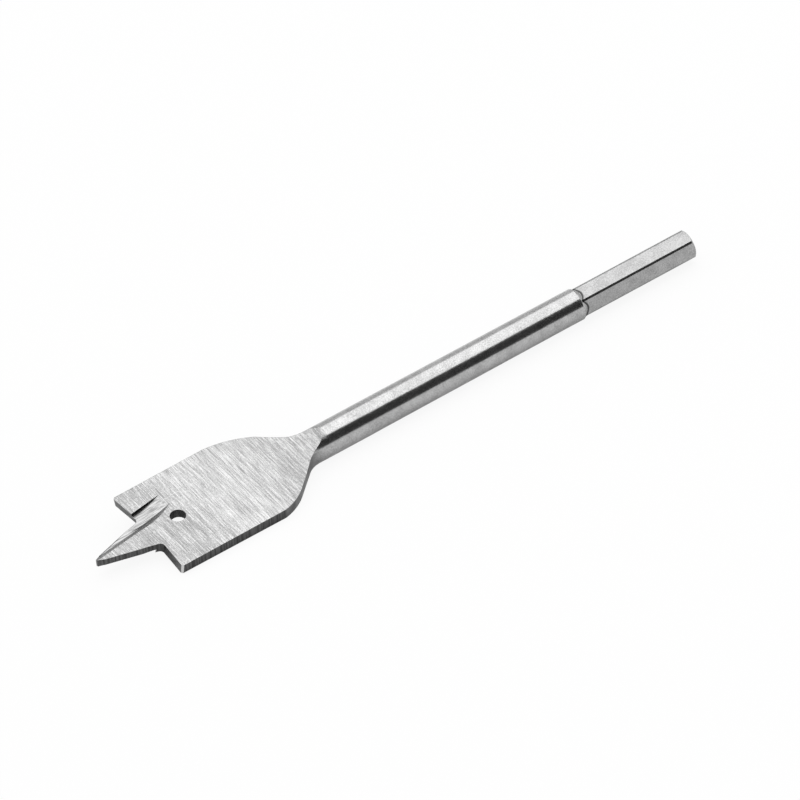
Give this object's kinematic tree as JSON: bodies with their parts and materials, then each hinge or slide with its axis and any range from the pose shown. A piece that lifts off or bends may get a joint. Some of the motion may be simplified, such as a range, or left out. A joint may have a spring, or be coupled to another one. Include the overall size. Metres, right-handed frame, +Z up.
{
  "type": "spade drill bit",
  "caption": "Flat spade drill bit for wood: forged steel blade with a grooved centre point and square cutting wings, a round neck and shank, and a hex end for a drill chuck.",
  "frame": {"origin": "middle of the length, under the tool axis, at the floor on which the bit lies on its shank and one wing", "axes": "+X runs along the tool axis from the tip to the hex end, +Z up from the floor; the bit lies rolled about X until the edge of its -Y wing touches the floor"},
  "size_m": [0.1524, 0.0254, 0.0075],
  "materials": {
    "steel": "forged and ground bare steel"
  },
  "bodies": {
    "root": {"spade_bit": "steel"}
  },
  "joints": []
}
